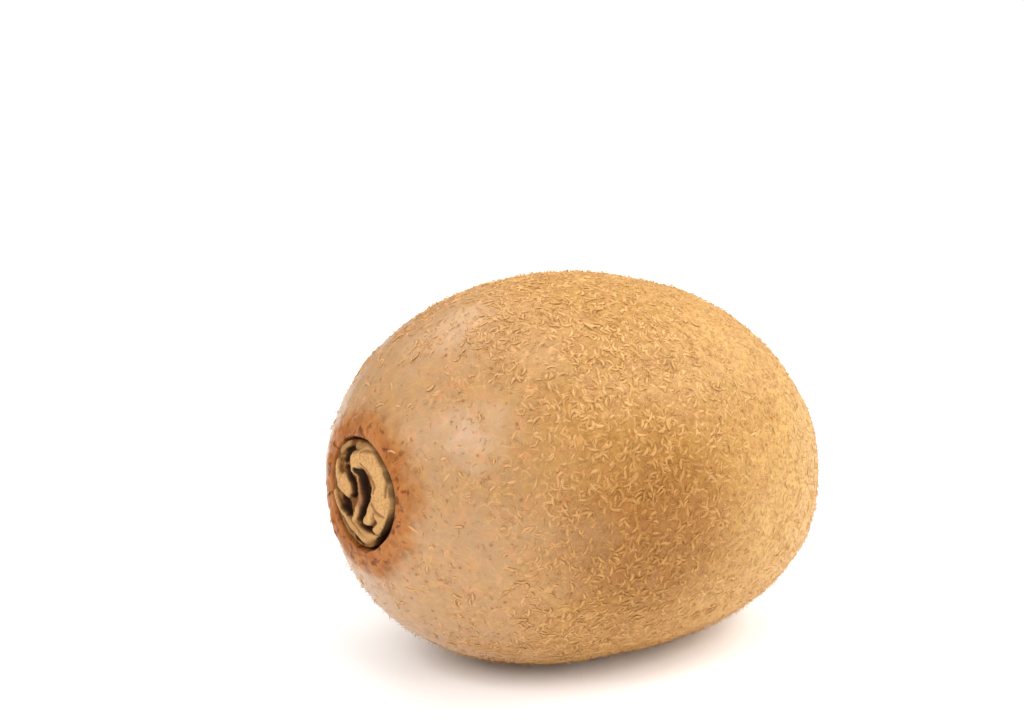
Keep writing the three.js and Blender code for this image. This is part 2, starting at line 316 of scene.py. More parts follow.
TURN = np.array(
    (
        (math.cos(STEM_LIFT), 0, math.sin(STEM_LIFT)),
        (0, 1, 0),
        (-math.sin(STEM_LIFT), 0, math.cos(STEM_LIFT)),
    )
)


def place_of_fruit():
    """Where the fruit's own frame lies: its smooth skin's sides, ends and top meet those of the solid's box."""
    station = np.linspace(0, np.pi, 721)[:, None]
    angle = np.linspace(0, 2 * np.pi, 721)[None, :]
    points = skin_places(station, angle)[0].reshape(-1, 3) @ TURN.T
    low, high = (np.array(corner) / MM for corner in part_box("fruit"))
    middle = (low + high) / 2 - (points.min(0) + points.max(0)) / 2
    return np.array((middle[0], middle[1], high[2] - points[:, 2].max()))


PLACE = place_of_fruit()


# ---- Meshes


def closed_rings(first, rings, last):
    """Points, quads and triangles of a closed surface: a pole, rings of points one after another, and a pole."""
    rows, columns = rings.shape[:2]
    points = np.concatenate((np.reshape(first, (1, 3)), rings.reshape(-1, 3), np.reshape(last, (1, 3))))
    column = np.arange(columns)
    following = (column + 1) % columns
    start = 1 + np.arange(rows - 1)[:, None] * columns
    quads = np.stack(
        (start + column, start + columns + column, start + columns + following, start + following), axis=-1
    ).reshape(-1, 4)
    end = len(points) - 1
    near = np.stack((np.zeros_like(column), 1 + column, 1 + following), axis=-1)
    far = np.stack((end - columns + column, np.full_like(column, end), end - columns + following), axis=-1)
    return points, quads, np.concatenate((near, far))


def with_poles(values):
    """A value for each point of closed_rings(), where each pole takes the mean of its ring."""
    return np.concatenate(((values[0].mean(),), values.ravel(), (values[-1].mean(),)))


def add_piece(name, points, quads, triangles, facts, material, slot, node=None):
    """Makes a smooth mesh object from arrays in the row frame, rides it on the root body and hides the solid that it
    takes the place of.
    """
    mesh = bpy.data.meshes.new(name)
    corners = np.concatenate((quads.ravel(), triangles.ravel())).astype(np.int32)
    starts = np.concatenate((np.arange(len(quads)) * 4, len(quads) * 4 + np.arange(len(triangles)) * 3))
    mesh.vertices.add(len(points))
    mesh.vertices.foreach_set("co", points.astype(np.float32).ravel())
    mesh.loops.add(len(corners))
    mesh.loops.foreach_set("vertex_index", corners)
    mesh.polygons.add(len(starts))
    mesh.polygons.foreach_set("loop_start", starts.astype(np.int32))
    mesh.polygons.foreach_set("use_smooth", np.ones(len(starts), dtype=bool))
    mesh.update(calc_edges=True)
    for fact, values in facts.items():
        attribute = mesh.attributes.new(fact, "FLOAT", "POINT")
        attribute.data.foreach_set("value", np.asarray(values, np.float32).ravel())
    if mesh.validate():
        raise RuntimeError(f"{name} has faces that aren't valid")
    mesh.materials.append(material)
    piece = bpy.data.objects.new(name, mesh)
    bpy.context.scene.collection.objects.link(piece)
    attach(piece, "root")
    if node:
        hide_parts(node)
    return piece


# ---- Materials


class NodeSheet:
    """A material's node tree, with short ways to add the nodes that these finishes need."""

    def __init__(self, name):
        self.material = bpy.data.materials.new(name)
        self.material.use_nodes = True
        self.tree = self.material.node_tree
        self.tree.nodes.clear()
        self.column = 0

    def add(self, kind, inputs=None, **settings):
        """Adds a node. A socket given as an input is linked, and any other value is set."""
        node = self.tree.nodes.new(kind)
        node.location = (220 * self.column, -40 * (self.column % 7))
        self.column += 1
        for key, value in settings.items():
            setattr(node, key, value)
        for socket, value in (inputs or {}).items():
            if isinstance(value, bpy.types.NodeSocket):
                self.tree.links.new(value, node.inputs[socket])
            else:
                node.inputs[socket].default_value = value
        return node

    def millimetres(self):
        """Object coordinates in mm, turned so that X follows the fruit's own axis."""
        where = self.add("ShaderNodeTexCoord").outputs["Object"]
        return self.add("ShaderNodeMapping", {0: where, 2: (0, -STEM_LIFT, 0), 3: (1000, 1000, 1000)}).outputs[0]

    def stretched(self, where, sizes):
        return self.add("ShaderNodeMapping", {0: where, 3: sizes}).outputs[0]

    def attribute(self, name):
        return self.add("ShaderNodeAttribute", attribute_name=name).outputs["Fac"]

    def noise(self, where, size, detail=2.0, distortion=0.0, roughness=0.5):
        """Noise from 0 to 1 with features of about size mm."""
        given = {"Vector": where, "Scale": 1 / size, "Detail": detail}
        given |= {"Distortion": distortion, "Roughness": roughness}
        return self.add("ShaderNodeTexNoise", given).outputs["Fac"]

    def tints(self, where, size, detail=2.0):
        """Coloured noise, to push another pattern's places about."""
        given = {"Vector": where, "Scale": 1 / size, "Detail": detail}
        return self.add("ShaderNodeTexNoise", given).outputs["Color"]

    def cells(self, where, size, **settings):
        """Scattered cells of about size mm."""
        return self.add("ShaderNodeTexVoronoi", {"Vector": where, "Scale": 1 / size}, **settings)

    def near(self, where, centre, inner, outer):
        """1 within inner mm of a place and 0 beyond outer mm, with a wandering edge."""
        given = {0: self.mixed(1.0, where, self.tints(where, 6.0), "ADD"), 1: centre}
        away = self.add("ShaderNodeVectorMath", given, operation="DISTANCE").outputs["Value"]
        return self.ranged(away, inner, outer, 1.0, 0.0)

    def worms(self, where, size):
        """Short curved ridges of about size mm: the places where one noise is near its middle and another is high."""
        middle = self.sum(self.sum(self.noise(where, size, 0.0), 0.5, "SUBTRACT"), 0.0, "ABSOLUTE")
        ridge = self.ranged(middle, 0.01, 0.06, 1.0, 0.0)
        return self.times(ridge, self.ranged(self.noise(where, size * 0.8, 1.0), 0.42, 0.56))

    def ranged(self, value, low, high, to_low=0.0, to_high=1.0):
        """value, smoothly from to_low at low to to_high at high."""
        given = {"Value": value, "From Min": low, "From Max": high, "To Min": to_low, "To Max": to_high}
        return self.add("ShaderNodeMapRange", given, interpolation_type="SMOOTHSTEP").outputs[0]

    def sum(self, first, second, operation="ADD", clamp=False):
        return self.add("ShaderNodeMath", {0: first, 1: second}, operation=operation, use_clamp=clamp).outputs[0]

    def times(self, first, second):
        return self.sum(first, second, "MULTIPLY")

    def mixed(self, share, first, second, kind="MIX"):
        """first where share is 0 and second where it is 1. Colours are sockets or tuples of three."""
        colours = [c if isinstance(c, bpy.types.NodeSocket) else (*c, 1.0) for c in (first, second)]
        given = {0: share, 6: colours[0], 7: colours[1]}
        return self.add("ShaderNodeMix", given, data_type="RGBA", blend_type=kind).outputs[2]

    def bump(self, height, strength, depth, under=None):
        """A bump of that depth in mm, on top of another one."""
        given = {"Height": height, "Strength": strength, "Distance": depth * MM}
        if under:
            given["Normal"] = under
        return self.add("ShaderNodeBump", given).outputs[0]

    def finish(self, colour, roughness, normal, **sockets):
        """The shader itself. Values that are the same all over are set on its own sockets."""
        given = {"Base Color": colour, "Roughness": roughness, "Normal": normal, **sockets}
        shader = self.add("ShaderNodeBsdfPrincipled", given)
        self.add("ShaderNodeOutputMaterial", {0: shader.outputs[0]})
        return self.material


WAX = {"Coat Roughness": 0.36, "Coat IOR": 1.5}
# Painted shade: a darker patch in the middle of the front, standing in for the band of shade between the lit top and
# the lit underside, in mm: its middle, and where it is full and where it ends.
PAINTED_SHADE_PATCH = ((-8.0, -26.0, 24.0), 4.0, 20.0)


def skin_material(look):
    """Thin skin: rosy and waxy at the stem end, golden and duller under the hairs, russet round scar and pit. Painted
    into its colour too: partly painted light that makes the blossom end paler, and painted shade between the hairs,
    in a patch on the front and down in the groove round the scar.
    """
    sheet = NodeSheet("kiwi_skin")
    where = sheet.millimetres()
    along, rim, pit, hairy, gap = (sheet.attribute(name) for name in ("along", "rim", "pit", "hairy", "open"))
    broad = sheet.noise(where, 11.0, 3.0)
    patch = sheet.noise(where, 2.6, 3.0, 0.6)
    fine = sheet.noise(where, 0.7, 4.0, 0.4, 0.6)

    # Along the fruit: rosy at the stem end, golden on the body, paler at the blossom end. This is partly the skin's
    # own tones and partly painted light, darker at the stem end and lighter at the blossom end as the fruit is lit.
    place = sheet.sum(along, sheet.times(broad, 0.5))
    colour = sheet.mixed(sheet.ranged(place, -0.75, 0.3), look.rosy, look.golden)
    colour = sheet.mixed(sheet.ranged(place, 0.2, 1.0), colour, look.pale)
    colour = sheet.mixed(sheet.ranged(patch, 0.42, 0.68, 0.0, 0.35), colour, look.olive)
    colour = sheet.mixed(sheet.ranged(sheet.noise(where, 1.9, 2.0), 0.5, 0.72, 0.0, 0.4), colour, look.blush)
    # Painted shade between the matted hairs: dark spots of fine noise, stronger where the hairs stand thick.
    shade = sheet.ranged(fine, 0.3, 0.6, 0.6, 0.0)
    colour = sheet.mixed(sheet.times(shade, sheet.ranged(hairy, 0.1, 0.9, 0.35, 1.0)), colour, look.painted_gap_shade)

    matted = sheet.mixed(0.35, where, sheet.tints(where, 2.2), "ADD")
    small = sheet.worms(sheet.stretched(matted, (1.3, 0.9, 1.15)), 1.1)
    curls = sheet.sum(sheet.worms(matted, 1.5), small, "MAXIMUM")
    shown = sheet.ranged(hairy, 0.0, 0.6, 0.25, 1.0)
    colour = sheet.mixed(sheet.times(sheet.times(curls, shown), 0.4), colour, look.curl)

    # Painted shade: the colour is multiplied darker in the patch on the front.
    colour = sheet.mixed(sheet.near(where, *PAINTED_SHADE_PATCH), colour, look.painted_shade_tint, "MULTIPLY")

    spots = sheet.cells(sheet.mixed(0.12, where, sheet.tints(where, 1.2), "ADD"), 1.55)
    chosen = sheet.ranged(spots.outputs["Color"], 0.45, 0.62)
    pore = sheet.times(sheet.ranged(spots.outputs["Distance"], 0.1, 0.24, 1.0, 0.0), chosen)
    colour = sheet.mixed(sheet.times(pore, look.pore_strength), colour, look.pore)

    halo = sheet.ranged(sheet.sum(rim, sheet.times(sheet.noise(where, 2.4, 3.0), 5.0)), 4.0, 8.8, 1.0, 0.0)
    flecks = sheet.ranged(sheet.noise(where, 1.3, 3.0, 0.6), 0.53, 0.64)
    russet = sheet.mixed(sheet.ranged(patch, 0.35, 0.65), look.halo, look.halo_pale)
    russet = sheet.mixed(flecks, russet, look.halo_fleck)
    colour = sheet.mixed(halo, colour, russet)
    # Painted shade down in the groove round the scar: the cup's wall is darkened, most where the groove opens.
    dark = sheet.ranged(sheet.sum(gap, sheet.times(sheet.noise(where, 1.6, 2.0), 0.5)), 0.2, 0.6, 0.15, 1.0)
    wall = sheet.ranged(rim, 0.0, 0.55, 1.0, 0.0)
    colour = sheet.mixed(sheet.times(wall, dark), colour, look.groove)
    ring = sheet.ranged(sheet.sum(pit, sheet.times(sheet.noise(where, 2.4, 3.0), 4.0)), 4.4, 9.0, 1.0, 0.0)
    colour = sheet.mixed(sheet.times(ring, 0.85), colour, russet)

    smooth = sheet.ranged(hairy, 0.1, 0.8, look.waxy_roughness, 0.55)
    roughness = sheet.sum(smooth, sheet.ranged(fine, 0.3, 0.7, -0.05, 0.06))
    normal = sheet.bump(patch, 0.35, 0.25)
    normal = sheet.bump(fine, 0.3, 0.08, normal)
    normal = sheet.bump(sheet.times(curls, shown), 0.6, 0.1, normal)
    normal = sheet.bump(pore, -0.6, 0.1, normal)
    dull = sheet.sum(sheet.sum(halo, sheet.times(pore, 0.5), "MAXIMUM"), sheet.times(hairy, 0.5), "MAXIMUM")
    wax = sheet.ranged(dull, 0.0, 0.8, look.wax, 0.02)
    return sheet.finish(colour, roughness, normal, **WAX, **{"Coat Weight": wax, "Specular IOR Level": 0.15})


def hair_material(look):
    """Dry hairs: darker at the root, pale at the tip, each with a tone of its own; paler towards the blossom end,
    partly as painted light, and darker in the painted shade patch on the front.
    """
    sheet = NodeSheet("kiwi_hair")
    where = sheet.millimetres()
    tone = sheet.attribute("tone")
    reach = sheet.attribute("reach")
    grain = sheet.noise(where, 0.35, 2.0)
    colour = sheet.mixed(tone, look.pale, look.warm)
    # Paler towards the blossom end: partly the hairs' own tone, partly painted light.
    colour = sheet.mixed(sheet.times(sheet.ranged(sheet.attribute("along"), 0.0, 0.9), 0.5), colour, look.pale)
    colour = sheet.mixed(sheet.ranged(sheet.attribute("along"), -0.75, -0.1, 0.8, 0.0), colour, look.stem)
    colour = sheet.mixed(sheet.ranged(reach, 0.0, 0.45, 0.65, 0.0), colour, look.root)
    # Painted shade: the hairs too are multiplied darker in the patch on the front.
    colour = sheet.mixed(sheet.times(sheet.near(where, *PAINTED_SHADE_PATCH), 0.9), colour, look.painted_shade_tint, "MULTIPLY")
    colour = sheet.mixed(sheet.ranged(grain, 0.4, 0.7, 0.0, 0.3), colour, look.warm)
    roughness = sheet.ranged(grain, 0.3, 0.7, 0.5, 0.65)
    normal = sheet.bump(grain, 0.2, 0.03)
    return sheet.finish(colour, roughness, normal, **WAX, **{"Coat Weight": 0.35, "Specular IOR Level": 0.2})


def cork_material(look):
    """Dry folded cork: tan on the folds, olive on the low ground, dark brown in the clefts. The dark of the clefts is
    partly the tissue and partly painted shade, and the creases, the low ground and the edge where the groove opens
    carry painted shade too.
    """
    sheet = NodeSheet("kiwi_scar_cork")
    where = sheet.millimetres()
    fold, cleft, crease, blush, edge = (
        sheet.attribute(name) for name in ("fold", "cleft", "crease", "blush", "edge")
    )
    patch = sheet.noise(where, 1.1, 3.0, 0.5)
    fine = sheet.noise(where, 0.3, 4.0, 0.3, 0.6)
    # Paler on the tops of the folds and darker on the low ground: partly the cork's own tones, partly painted shade
    # in the hollows.
    colour = sheet.mixed(sheet.ranged(fold, 0.1, 0.8), look.ground, look.ridge)
    colour = sheet.mixed(sheet.ranged(patch, 0.4, 0.7, 0.0, 0.5), colour, look.olive)
    colour = sheet.mixed(sheet.ranged(fine, 0.32, 0.6, 0.35, 0.0), colour, look.ground)
    # Painted shade in the fine creases.
    colour = sheet.mixed(sheet.times(crease, 0.75), colour, look.ground)
    colour = sheet.mixed(sheet.times(blush, 0.75), colour, look.blush)
    # Clefts: dark brown tissue and painted shade, cut shallow and painted dark.
    colour = sheet.mixed(sheet.times(cleft, 0.96), colour, look.cleft)
    # Painted shade: the scar's outer edge is darkened where the groove round it opens.
    colour = sheet.mixed(edge, colour, look.cleft)
    roughness = sheet.ranged(fine, 0.3, 0.7, 0.6, 0.78)
    normal = sheet.bump(patch, 0.3, 0.2)
    normal = sheet.bump(fine, 0.55, 0.1, normal)
    return sheet.finish(colour, roughness, normal, **{"Specular IOR Level": 0.08})


def style_material(look):
    """Shrivelled fibre: dark brown with paler worn tips and fine lengthwise wrinkles."""
    sheet = NodeSheet("kiwi_dried_style")
    where = sheet.millimetres()
    reach = sheet.attribute("reach")
    patch = sheet.noise(where, 0.9, 3.0, 0.5)
    fine = sheet.noise(sheet.stretched(where, (0.4, 1.0, 1.0)), 0.22, 3.0)
    colour = sheet.mixed(sheet.ranged(reach, 0.2, 1.0), look.root, look.tip)
    colour = sheet.mixed(sheet.ranged(patch, 0.45, 0.7, 0.0, 0.6), colour, look.rust)
    colour = sheet.mixed(sheet.ranged(fine, 0.35, 0.6, 0.5, 0.0), colour, look.root)
    roughness = sheet.ranged(fine, 0.3, 0.7, 0.6, 0.8)
    normal = sheet.bump(fine, 0.6, 0.08)
    return sheet.finish(colour, roughness, normal, **{"Specular IOR Level": 0.35})


# ---- The scar


def smooth_path(places, steps=14):
    """Points on a Catmull-Rom curve through places, with each end repeated once."""
    places = np.array(places)
    held = np.concatenate((places[:1], places, places[-1:]))
    t = (np.arange(steps) / steps)[:, None]
    before, start, end, after = (held[i : len(held) - 3 + i, None] for i in range(4))
    curve = 0.5 * (
        2 * start
        + (end - before) * t
        + (2 * before - 5 * start + 4 * end - after) * t**2
        + (3 * start - before - 3 * end + after) * t**3
    )
    return np.concatenate((curve.reshape(-1, 2), places[-1:]))


def curve_distance(across, up, places):
    """Distance from points of the disc to a smooth curve, and how far along it the nearest point lies, 0 to 1."""
    path = smooth_path(places)
    squares = (across[..., None] - path[:, 0]) ** 2 + (up[..., None] - path[:, 1]) ** 2
    return np.sqrt(squares.min(-1)), squares.argmin(-1) / (len(path) - 1)


def curve_backs(across, up, curves, power, root):
    """Rounded backs along curves: height * (1 - (distance / half width)^power)^root, joined as a 6-norm."""
    backs = []
    for places, widths, height in curves.values():
        distance, share = curve_distance(across, up, places)
        half_width = np.interp(share, (0, 0.5, 1), widths)
        backs.append(height * np.clip(1 - (distance / half_width) ** power, 0, 1) ** root)
    return np.sum(np.array(backs) ** 6, axis=0) ** (1 / 6)


def curve_stain_and_shade(across, up, curves, inner, outer):
    """1 within inner half widths of a curve and 0 beyond outer half widths of all curves."""
    stains_and_shades = []
    for places, widths, _ in curves.values():
        distance, share = curve_distance(across, up, places)
        stains_and_shades.append(1 - smoothstep(distance / np.interp(share, (0, 0.5, 1), widths), inner, outer))
    return np.max(stains_and_shades, axis=0)


def scar_gap(angle):
    """Width in mm of the groove between the scar and the cup's wall, nearly closed where it isn't open."""
    return 0.05 + 0.42 * groove_openness(angle)


def scar_rings(rows, columns):
    """The scar's face and underside as rings, with its folds, clefts and finer wrinkles as heights."""
    angle = np.linspace(0, 2 * np.pi, columns, endpoint=False)[None, :]
    share = ((np.arange(rows) + 1) / rows)[:, None]
    across, up = share * np.cos(angle), share * np.sin(angle)
    flat = np.stack(np.broadcast_arrays(across, up, np.zeros_like(across)), axis=-1)
    bent_across = across + 0.018 * unevenness(flat, 0.4, 11)
    bent_up = up + 0.018 * unevenness(flat, 0.4, 12)
    folds = curve_backs(bent_across, bent_up, FOLDS, 2.4, 0.6)
    clefts = curve_backs(bent_across, bent_up, CLEFTS, 2.0, 0.8)
    creases = curve_backs(bent_across, bent_up, CREASES, 2.0, 1.0)
    # How dark the clefts are painted: partly the tissue's dark brown, partly painted shade.
    cleft_stain_and_shade = curve_stain_and_shade(bent_across, bent_up, CLEFTS, 0.7, 1.5)
    # Painted shade in the fine creases.
    crease_shade = curve_stain_and_shade(bent_across, bent_up, CREASES, 0.1, 1.3)
    wrinkles = 0.035 * unevenness(flat, 0.22, 13, 40) + 0.022 * unevenness(flat, 0.1, 14, 40)
    ground = SCAR["top"] - SCAR["edge_drop"] * share ** SCAR["edge_power"]
    height = ground + folds - clefts - creases + wrinkles * (1 - 0.5 * share**6)
    reach = cup_edge(angle) - scar_gap(angle)
    distance = reach * share
    blush = 1 - smoothstep(curve_distance(bent_across, bent_up, TONGUE_BLUSH)[0], 0.03, 0.14)
    facts = {
        "fold": folds,
        "cleft": cleft_stain_and_shade,
        "crease": crease_shade,
        "blush": blush,
        # Painted shade along the scar's edge, most where the groove round it opens.
        "edge": smoothstep(share, 0.975, 1.0) * (0.1 + 0.9 * groove_openness(angle)),
    }

    wall = np.array((0.995, 0.97, 0.5))[:, None]
    under = np.array((0.55, 0.05, 0.0))[:, None]
    wall_height = blend(SCAR["bottom"], height[-1:], under)
    distance = np.concatenate((distance, reach * wall))
    height = np.concatenate((height, wall_height))
    facts = {name: np.concatenate((values, np.repeat(values[-1:], 3, axis=0))) for name, values in facts.items()}
    rings = np.stack(
        np.broadcast_arrays(
            -STEM_HALF["length"] - height,
            -distance * np.cos(angle),
            distance * np.sin(angle) + centre_height(-1),
        ),
        axis=-1,
    )
    return rings, facts


# ---- The dried styles


def scattered(index, step):
    """Even but unordered values from 0 to 1, another row of them for each step."""
    return (index * step) % 1


def knob_rings(rows, columns):
    """A low dome with wrinkled sides: height = foot + dome * sqrt(1 - share^2), over a foot that tapers in."""
    bearing = np.linspace(0, 2 * np.pi, columns, endpoint=False)[None, :]
    share = np.sin(np.linspace(0, np.pi / 2, rows + 1)[1:])[:, None]
    height = KNOB["bottom"] + KNOB["foot"] + KNOB["dome"] * np.sqrt(np.clip(1 - share**2, 0, 1))
    distance = KNOB["radius"] * share * np.ones_like(bearing)
    height = np.concatenate((height * np.ones_like(bearing), np.full_like(bearing, KNOB["bottom"])))
    distance = np.concatenate((distance, 0.8 * KNOB["radius"] * np.ones_like(bearing)))
    rings = np.stack(
        (
            BLOSSOM_HALF["length"] + height,
            distance * np.cos(bearing),
            distance * np.sin(bearing) + centre_height(1),
        ),
        axis=-1,
    )
    return rings


def style_tubes(rows, columns):
    """All the styles at once, as an array of tubes: a wobbling profile carried along each bent spine.

    The spine leaves the knob at its bearing, leans out by lean * share and turns aside by bend * share^2.
    """
    index = np.arange(STYLE["count"])
    lean = blend(*STYLE_LEAN, np.sqrt((index + 0.5) / STYLE["count"]))[:, None]
    length = (STYLE["length"] * blend(0.6, 1.15, scattered(index, 0.755)))[:, None]
    bearing = (index * GOLDEN_ANGLE + STYLE_STRAY * blend(-1, 1, scattered(index, 0.57)))[:, None]
    bend = blend(-1, 1, scattered(index, 0.43))[:, None]
    share = np.linspace(0, 1, rows)[None, :]
    out = 0.45 * KNOB["radius"] * lean + length * share * np.sin(lean * share)
    height = KNOB["bottom"] + KNOB["dome"] - STYLE["sunk"] + length * share * np.cos(lean * share)
    turn = bearing + bend * share**2
    spine = np.stack(
        (BLOSSOM_HALF["length"] + height, out * np.cos(turn), out * np.sin(turn) + centre_height(1)), axis=-1
    )
    spine += 0.05 * share[..., None] * np.stack([unevenness(spine, 0.9, seed) for seed in (21, 22, 23)], axis=-1)
    ahead = np.gradient(spine, axis=1)
    ahead /= np.linalg.norm(ahead, axis=-1, keepdims=True)
    first = np.cross(ahead, np.array((0.31, 0.12, 0.94)))
    first /= np.linalg.norm(first, axis=-1, keepdims=True)
    second = np.cross(ahead, first)
    angle = np.linspace(0, 2 * np.pi, columns, endpoint=False)
    radius = blend(STYLE["root"], STYLE["tip"], share) * (1 + 0.25 * np.exp(-(((share - 0.93) / 0.12) ** 2)))
    profile = radius[..., None] * (1 + 0.22 * np.cos(2 * angle + 2.5 * share[..., None] + index[:, None, None]))
    ring = first[:, :, None] * np.cos(angle)[:, None] + second[:, :, None] * np.sin(angle)[:, None]
    tubes = spine[:, :, None] + profile[..., None] * ring
    tubes += 0.03 * (unevenness(tubes, 0.5, 24, 40)[..., None]) * ring
    return spine, tubes, np.broadcast_to(share, (STYLE["count"], rows))


# ---- The hairs


# How the two kinds of hair grow. Sizes are in mm and turns in radians.
HAIR_KINDS = {
    "curls": {
        "rows": 6, "seed": 41, "thinning": 1.5, "turn": 2.6, "lift": 0.1, "tip_lift": 0.0, "sunk": 0.05, "rise": 0.2
    },
    "fuzz": {
        "rows": 4, "seed": 42, "thinning": 0.7, "turn": 1.4, "lift": 0.08, "tip_lift": 0.42, "sunk": 0.0, "rise": 1.25
    },
}
HAIR_SIDES = ("front_upper", "back_upper", "back_lower", "front_lower")
ROOT_DEPTH = 0.05
FLAT_DEPTH = 0.045
FLOOR_CLEARANCE = 0.12


def hairiness(facts, points):
    """How thickly the hairs stand, 0 to 1: thin at the stem end, full from two fifths of the way on."""
    wander = 0.1 * unevenness(points, 9.0, 31)
    stem_side = smoothstep(facts["along"] + wander, -0.95, -0.15)
    blossom_side = smoothstep(facts["pit"], 3.0, 13.0)
    return (0.06 + 0.94 * stem_side) * (0.15 + 0.85 * blossom_side) * smoothstep(facts["rim"], 1.0, 3.0)


def hair_roots(count, seed, thinning):
    """Random places on the skin, as likely per area as the hairs stand thick there. Drawn from a grid's cells."""
    rng = np.random.default_rng(seed)
    station = np.linspace(0.2, np.pi - 0.1, 260)[:, None]
    angle = np.linspace(0, 2 * np.pi, 361)[None, :]
    points, facts = skin_places(station, angle)
    edges = np.cross(np.diff(points, axis=0)[:, :-1], np.diff(points, axis=1)[:-1])
    chance = np.linalg.norm(edges, axis=-1) * (hairiness(facts, points)[:-1, :-1] ** thinning)
    reach = np.cumsum(chance.ravel())
    cell = np.searchsorted(reach, rng.uniform(0, reach[-1], count))
    row, column = np.divmod(cell, chance.shape[1])
    station_step, angle_step = station[1, 0] - station[0, 0], angle[0, 1] - angle[0, 0]
    root_station = station[row, 0] + station_step * rng.uniform(0, 1, count)
    root_angle = angle[0, column] + angle_step * rng.uniform(0, 1, count)
    tiny = 1e-4
    root, root_facts = skin_places(root_station, root_angle)
    ahead = skin_places(root_station + tiny, root_angle)[0] - root
    around = skin_places(root_station, root_angle + tiny)[0] - root
    normal = np.cross(ahead, around)
    normal /= np.linalg.norm(normal, axis=-1, keepdims=True)
    ahead /= np.linalg.norm(ahead, axis=-1, keepdims=True)
    root = root + normal * skin_relief(root, root_facts)[:, None]
    return rng, root, normal, ahead, root_facts["along"]


def hair_strands(root, normal, ahead, heading, length, width, lift, curl, tip_lift, sunk, rise, rows):
    """Hairs as thin three-sided strands that end in a point. Their lower edges lie sunk mm deeper than the spine.

    A hair leaves its root at its heading and turns evenly by curl in the skin's plane, so it runs along a
    circle's arc. Its height is lift * sin(pi * share^0.8) + tip_lift * share^1.5, less the depth of its root.
    """
    aside = np.cross(normal, ahead)
    way = ahead * np.cos(heading)[:, None] + aside * np.sin(heading)[:, None]
    left = np.cross(normal, way)
    share = np.linspace(0, 1, rows)[None, :]
    turn = curl[:, None] * share
    radius = (length / curl)[:, None]
    forward, sideways = radius * np.sin(turn), radius * (1 - np.cos(turn))
    height = lift[:, None] * np.sin(np.pi * share**0.8) + tip_lift[:, None] * share**1.5 - ROOT_DEPTH
    spine = (
        root[:, None]
        + way[:, None] * forward[..., None]
        + left[:, None] * sideways[..., None]
        + normal[:, None] * height[..., None]
    )
    across = left[:, None] * np.cos(turn)[..., None] - way[:, None] * np.sin(turn)[..., None]
    half = 0.5 * width[:, None] * (0.35 + 0.65 * np.sin(np.pi * np.clip(share * 0.9 + 0.12, 0, 1)))
    half = half[..., None]
    foot = spine - sunk * normal[:, None]
    crest = spine + normal[:, None] * half * rise
    corners = np.stack((foot - across * half, foot + across * half, crest), axis=2)
    strand = np.concatenate((corners[:, :-1].reshape(len(root), -1, 3), spine[:, -1:]), axis=1)
    reach = np.concatenate((np.repeat(share[0, :-1], 3), share[0, -1:]))
    return strand, np.broadcast_to(reach, strand.shape[:2])


def grown_hairs(kind, count, length, width):
    """All the hairs of one kind as strands, with their reach, skin normal, tone and place along the fruit.

    Towards the blossom end they lie flatter and deeper.
    """
    rng, root, normal, ahead, along = hair_roots(count, kind["seed"], kind["thinning"])
    lengths = length * rng.uniform(0.6, 1.35, count)
    curl = rng.uniform(0.4, kind["turn"], count) * rng.choice((-1, 1), count)
    flat = smoothstep(along, -0.1, 0.55)
    lift = kind["lift"] * rng.uniform(0.6, 1.4, count) * (1 - 0.4 * flat)
    root = root - FLAT_DEPTH * normal * flat[:, None]
    tip_lift = kind["tip_lift"] * rng.uniform(0.2, 1.8, count)
    heading = rng.uniform(0, 2 * np.pi, count)
    widths = width * rng.uniform(0.7, 1.25, count)
    tone = rng.uniform(0, 1, count)
    form = (kind["sunk"], kind["rise"], kind["rows"])
    strand, reach = hair_strands(root, normal, ahead, heading, lengths, widths, lift, curl, tip_lift, *form)
    return strand, reach, normal, tone, along


def strand_faces(count, rows):
    """Faces of count strands of hair_strands(): their sides, their closed roots and their points."""
    last = 3 * (rows - 1)
    start = 3 * np.arange(rows - 2)[:, None]
    side = np.arange(3)
    following = (side + 1) % 3
    corners = (start + side, start + following, start + 3 + following, start + 3 + side)
    quads = np.stack(corners, axis=-1).reshape(-1, 4)
    near_tip = last - 3
    tips = np.stack((near_tip + side, near_tip + following, np.full(3, last)), axis=-1)
    triangles = np.concatenate((((0, 2, 1),), tips))
    offset = (last + 1) * np.arange(count)[:, None, None]
    return (offset + quads).reshape(-1, 4), (offset + triangles).reshape(-1, 3)


# ---- What a user may change


def colour_setting(name, description, default):
    return FloatVectorProperty(name=name, description=description, subtype="COLOR", default=default)


def size_setting(name, description, default):
    return FloatProperty(name=name, description=description, default=default, unit="LENGTH", precision=5)


def power_setting(name, description, default):
    return FloatProperty(name=name, description=description, default=default, min=0, unit="POWER")


def share_setting(name, description, default):
    return FloatProperty(name=name, description=description, default=default, min=0, max=1, subtype="FACTOR")


